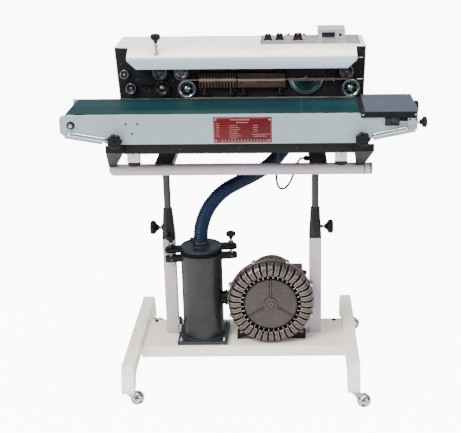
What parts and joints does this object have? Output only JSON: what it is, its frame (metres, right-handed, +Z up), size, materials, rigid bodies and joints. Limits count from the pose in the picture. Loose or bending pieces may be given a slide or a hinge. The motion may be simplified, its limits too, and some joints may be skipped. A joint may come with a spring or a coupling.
{
  "type": "continuous band sealer",
  "caption": "Free-standing continuous band sealer: height-adjustable wheeled stand, belt conveyor, sealing head with band wheels, ring blower, filter canister and hose.",
  "frame": {"origin": "on the floor, below the centre of the whole machine", "axes": "+Z up, +X along the conveyor from the outfeed to the infeed end, -Y towards the operator"},
  "size_m": [0.948, 0.5424, 0.998],
  "materials": {
    "stand_paint": "satin powder coat",
    "rail_paint": "satin powder coat",
    "sleeve_paint": "satin dark coat",
    "canister_paint": "hammered dark grey coat",
    "lid_paint": "dark coat",
    "hose_plastic": "corrugated blue plastic",
    "cast_alloy": "cast, bronze-grey coat",
    "motor_alloy": "cast, bronze-grey coat",
    "rotor_alloy": "machined",
    "black_plastic": "moulded, satin",
    "black_steel": "black coat",
    "chrome": "polished",
    "caster_tread": "polished hub with a dark tread",
    "arm_paint": "dark blue-black coat",
    "base_paint": "dark brown-grey coat",
    "cream_paint": "satin cream coat",
    "plate_black": "fine crackle black",
    "panel_alloy": "brushed",
    "counter_case": "light grey case",
    "block_copper": "worn copper alloy",
    "band_cloth": "coated glass cloth",
    "motor_paint": "grey coat",
    "wheel_grey": "turned, worn",
    "wheel_teal": "dark rubber tyre",
    "panel_grey": "satin light grey coat",
    "frame_steel": "folded sheet",
    "belt_green": "smooth PVC belt",
    "roller_steel": "turned",
    "table_slate": "satin slate coat",
    "cable_rubber": "black sheath"
  },
  "bodies": {
    "stand": {"base_tray": "stand_paint", "feet": "stand_paint", "columns": "rail_paint", "pole_sleeves": "sleeve_paint", "canister_body": "canister_paint", "canister_lid": "lid_paint", "hose": "hose_plastic", "blower_housing": "cast_alloy", "blower_cover": "cast_alloy", "blower_motor": "motor_alloy"},
    "lift": {"rails": "rail_paint", "lift_arms": "arm_paint", "machine_base": "base_paint", "conveyor_brackets": "black_steel", "head_box": "cream_paint", "mechanism_plate": "plate_black", "hood": "cream_paint", "control_panel": "panel_alloy", "counter_box": "counter_case", "sealing_blocks": "block_copper", "sealing_bands": "band_cloth", "gearmotor": "motor_paint", "power_cable": "cable_rubber"},
    "conveyor": {"front_panel": "panel_grey", "conveyor_frame": "frame_steel", "conveyor_belt": "belt_green", "infeed_table": "table_slate"},
    "drain_cock": {"drain_cock": "black_plastic"},
    "impeller": {"impeller": "rotor_alloy"},
    "sleeve_knob_left": {"sleeve_knob_left": "black_plastic"},
    "sleeve_knob_right": {"sleeve_knob_right": "black_plastic"},
    "lid_clamp_left": {"lid_clamp_left": "black_steel"},
    "lid_clamp_right": {"lid_clamp_right": "black_steel"},
    "upper_band_wheel_left": {"upper_band_wheel_left": "wheel_grey"},
    "upper_band_wheel_right": {"upper_band_wheel_right": "wheel_grey"},
    "lower_band_wheel_left": {"lower_band_wheel_left": "wheel_teal"},
    "lower_band_wheel_right": {"lower_band_wheel_right": "wheel_teal"},
    "emboss_wheel_upper": {"emboss_wheel_upper": "wheel_grey"},
    "emboss_wheel_lower": {"emboss_wheel_lower": "wheel_grey"},
    "exit_pulley_upper": {"exit_pulley_upper": "wheel_grey"},
    "exit_pulley_lower": {"exit_pulley_lower": "wheel_grey"},
    "guide_disc": {"guide_disc": "wheel_teal"},
    "pressure_knob": {"pressure_knob": "black_plastic"},
    "power_switch": {"power_switch": "black_plastic"},
    "heater_switch": {"heater_switch": "black_plastic"},
    "speed_dial": {"speed_dial": "black_plastic"},
    "drive_roller": {"drive_roller": "roller_steel"},
    "idler_roller": {"idler_roller": "roller_steel"},
    "tension_knob_front": {"tension_knob_front": "black_plastic"},
    "tension_knob_rear": {"tension_knob_rear": "black_plastic"},
    "star_knob_left": {"star_knob_left": "black_plastic"},
    "star_knob_right": {"star_knob_right": "black_plastic"},
    "caster_fl": {"caster_hood_fl": "chrome"},
    "wheel_fl": {"caster_wheel_fl": "caster_tread"},
    "caster_fr": {"caster_hood_fr": "chrome"},
    "wheel_fr": {"caster_wheel_fr": "caster_tread"},
    "caster_rl": {"caster_hood_rl": "chrome"},
    "wheel_rl": {"caster_wheel_rl": "caster_tread"},
    "caster_rr": {"caster_hood_rr": "chrome"},
    "wheel_rr": {"caster_wheel_rr": "caster_tread"}
  },
  "joints": [
    {"name": "lift_slide", "type": "slide", "parent": "stand", "child": "lift", "axis": [0, 0, 1], "range_m": [-0.08, 0.15], "deforming": ["hose"]},
    {"name": "conveyor_height", "type": "slide", "parent": "lift", "child": "conveyor", "axis": [0, 0, 1], "range_m": [0, 0.02]},
    {"name": "swivel_fl", "type": "hinge", "parent": "stand", "child": "caster_fl", "pos_m": [-0.33, -0.247, 0.049], "axis": [0, 0, 1], "continuous": true},
    {"name": "roll_fl", "type": "hinge", "parent": "caster_fl", "child": "wheel_fl", "pos_m": [-0.3102, -0.2272, 0.02], "axis": [0.6124, -0.6124, -0.5], "continuous": true},
    {"name": "swivel_fr", "type": "hinge", "parent": "stand", "child": "caster_fr", "pos_m": [0.292, -0.247, 0.049], "axis": [0, 0, 1], "continuous": true},
    {"name": "roll_fr", "type": "hinge", "parent": "caster_fr", "child": "wheel_fr", "pos_m": [0.31973, -0.2509, 0.02], "axis": [-0.1205, -0.8576, -0.5], "continuous": true},
    {"name": "swivel_rl", "type": "hinge", "parent": "stand", "child": "caster_rl", "pos_m": [-0.33, 0.247, 0.049], "axis": [0, 0, 1], "continuous": true},
    {"name": "roll_rl", "type": "hinge", "parent": "caster_rl", "child": "wheel_rl", "pos_m": [-0.30242, 0.25186, 0.02], "axis": [0.1504, -0.8529, -0.5], "continuous": true},
    {"name": "swivel_rr", "type": "hinge", "parent": "stand", "child": "caster_rr", "pos_m": [0.292, 0.247, 0.049], "axis": [0, 0, 1], "continuous": true},
    {"name": "roll_rr", "type": "hinge", "parent": "caster_rr", "child": "wheel_rr", "pos_m": [0.32, 0.247, 0.02], "axis": [0, -0.866, -0.5], "continuous": true},
    {"name": "sleeve_clamp_left", "type": "hinge", "parent": "stand", "child": "sleeve_knob_left", "pos_m": [-0.229, 0.006, 0.439], "axis": [-1, 0, 0], "range_deg": [0, 720]},
    {"name": "sleeve_clamp_right", "type": "hinge", "parent": "stand", "child": "sleeve_knob_right", "pos_m": [0.191, 0.006, 0.439], "axis": [1, 0, 0], "range_deg": [0, 720]},
    {"name": "lid_clamp_swing_left", "type": "hinge", "parent": "stand", "child": "lid_clamp_left", "pos_m": [-0.22094, -0.02945, 0.357], "axis": [0.1564, -0.9877, 0], "range_deg": [0, 80]},
    {"name": "lid_clamp_swing_right", "type": "hinge", "parent": "stand", "child": "lid_clamp_right", "pos_m": [-0.05106, -0.00255, 0.357], "axis": [-0.1564, 0.9877, 0], "range_deg": [0, 80]},
    {"name": "drain_turn", "type": "hinge", "parent": "stand", "child": "drain_cock", "pos_m": [-0.20297, -0.02781, 0.16], "axis": [0.1736, -0.9848, 0], "range_deg": [0, 90]},
    {"name": "impeller_spin", "type": "hinge", "parent": "stand", "child": "impeller", "pos_m": [0.0625, -0.046, 0.234], "axis": [0, 1, 0], "continuous": true},
    {"name": "drive_roller_spin", "type": "hinge", "parent": "conveyor", "child": "drive_roller", "pos_m": [-0.4446, -0.1, 0.791], "axis": [0, 1, 0], "continuous": true},
    {"name": "idler_roller_spin", "type": "hinge", "parent": "conveyor", "child": "idler_roller", "pos_m": [0.388, -0.1, 0.8], "axis": [0, 1, 0], "continuous": true},
    {"name": "upper_band_left_spin", "type": "hinge", "parent": "lift", "child": "upper_band_wheel_left", "pos_m": [-0.172, -0.01, 0.88995], "axis": [0, 1, 0], "continuous": true},
    {"name": "upper_band_right_spin", "type": "hinge", "parent": "lift", "child": "upper_band_wheel_right", "pos_m": [0.275, -0.01, 0.88995], "axis": [0, 1, 0], "continuous": true},
    {"name": "lower_band_left_spin", "type": "hinge", "parent": "lift", "child": "lower_band_wheel_left", "pos_m": [-0.158, -0.01, 0.84505], "axis": [0, 1, 0], "continuous": true},
    {"name": "lower_band_right_spin", "type": "hinge", "parent": "lift", "child": "lower_band_wheel_right", "pos_m": [0.287, -0.01, 0.84505], "axis": [0, 1, 0], "continuous": true},
    {"name": "emboss_upper_spin", "type": "hinge", "parent": "lift", "child": "emboss_wheel_upper", "pos_m": [-0.231, -0.01, 0.89], "axis": [0, 1, 0], "continuous": true},
    {"name": "emboss_lower_spin", "type": "hinge", "parent": "lift", "child": "emboss_wheel_lower", "pos_m": [-0.226, -0.01, 0.848], "axis": [0, 1, 0], "continuous": true},
    {"name": "exit_upper_spin", "type": "hinge", "parent": "lift", "child": "exit_pulley_upper", "pos_m": [-0.327, -0.01, 0.887], "axis": [0, 1, 0], "continuous": true},
    {"name": "exit_lower_spin", "type": "hinge", "parent": "lift", "child": "exit_pulley_lower", "pos_m": [-0.311, -0.01, 0.848], "axis": [0, 1, 0], "continuous": true},
    {"name": "guide_disc_spin", "type": "hinge", "parent": "lift", "child": "guide_disc", "pos_m": [0.165, -0.01, 0.874], "axis": [0, 1, 0], "continuous": true},
    {"name": "pressure_turn", "type": "hinge", "parent": "lift", "child": "pressure_knob", "pos_m": [-0.236, -0.026, 0.94], "axis": [0, 0, 1], "range_deg": [-720, 720]},
    {"name": "power_turn", "type": "hinge", "parent": "lift", "child": "power_switch", "pos_m": [0.062, 0.088, 0.958], "axis": [0, 0, -1], "range_deg": [0, 90]},
    {"name": "heater_turn", "type": "hinge", "parent": "lift", "child": "heater_switch", "pos_m": [0.094, 0.095, 0.958], "axis": [0, 0, -1], "range_deg": [0, 90]},
    {"name": "speed_turn", "type": "hinge", "parent": "lift", "child": "speed_dial", "pos_m": [0.145, 0.092, 0.958], "axis": [0, 0, -1], "range_deg": [0, 270]},
    {"name": "tension_front_turn", "type": "hinge", "parent": "conveyor", "child": "tension_knob_front", "pos_m": [0.46, -0.195, 0.795], "axis": [1, 0, 0], "range_deg": [-720, 720]},
    {"name": "tension_rear_turn", "type": "hinge", "parent": "conveyor", "child": "tension_knob_rear", "pos_m": [0.46, -0.011, 0.795], "axis": [1, 0, 0], "range_deg": [-720, 720]},
    {"name": "star_left_turn", "type": "hinge", "parent": "conveyor", "child": "star_knob_left", "pos_m": [-0.331, -0.2, 0.752], "axis": [0, -1, 0], "range_deg": [0, 720]},
    {"name": "star_right_turn", "type": "hinge", "parent": "conveyor", "child": "star_knob_right", "pos_m": [0.308, -0.2, 0.753], "axis": [0, -1, 0], "range_deg": [0, 720]}
  ],
  "couplings": [
    {"joint": "idler_roller_spin", "follows": "drive_roller_spin", "ratio": 1.5},
    {"joint": "upper_band_left_spin", "follows": "drive_roller_spin", "ratio": -1.4211},
    {"joint": "upper_band_right_spin", "follows": "drive_roller_spin", "ratio": -1.4211},
    {"joint": "lower_band_left_spin", "follows": "drive_roller_spin", "ratio": 1.125},
    {"joint": "lower_band_right_spin", "follows": "drive_roller_spin", "ratio": 1.125},
    {"joint": "emboss_upper_spin", "follows": "drive_roller_spin", "ratio": -1.3846},
    {"joint": "emboss_lower_spin", "follows": "drive_roller_spin", "ratio": 1.35},
    {"joint": "guide_disc_spin", "follows": "drive_roller_spin", "ratio": 1.125}
  ]
}
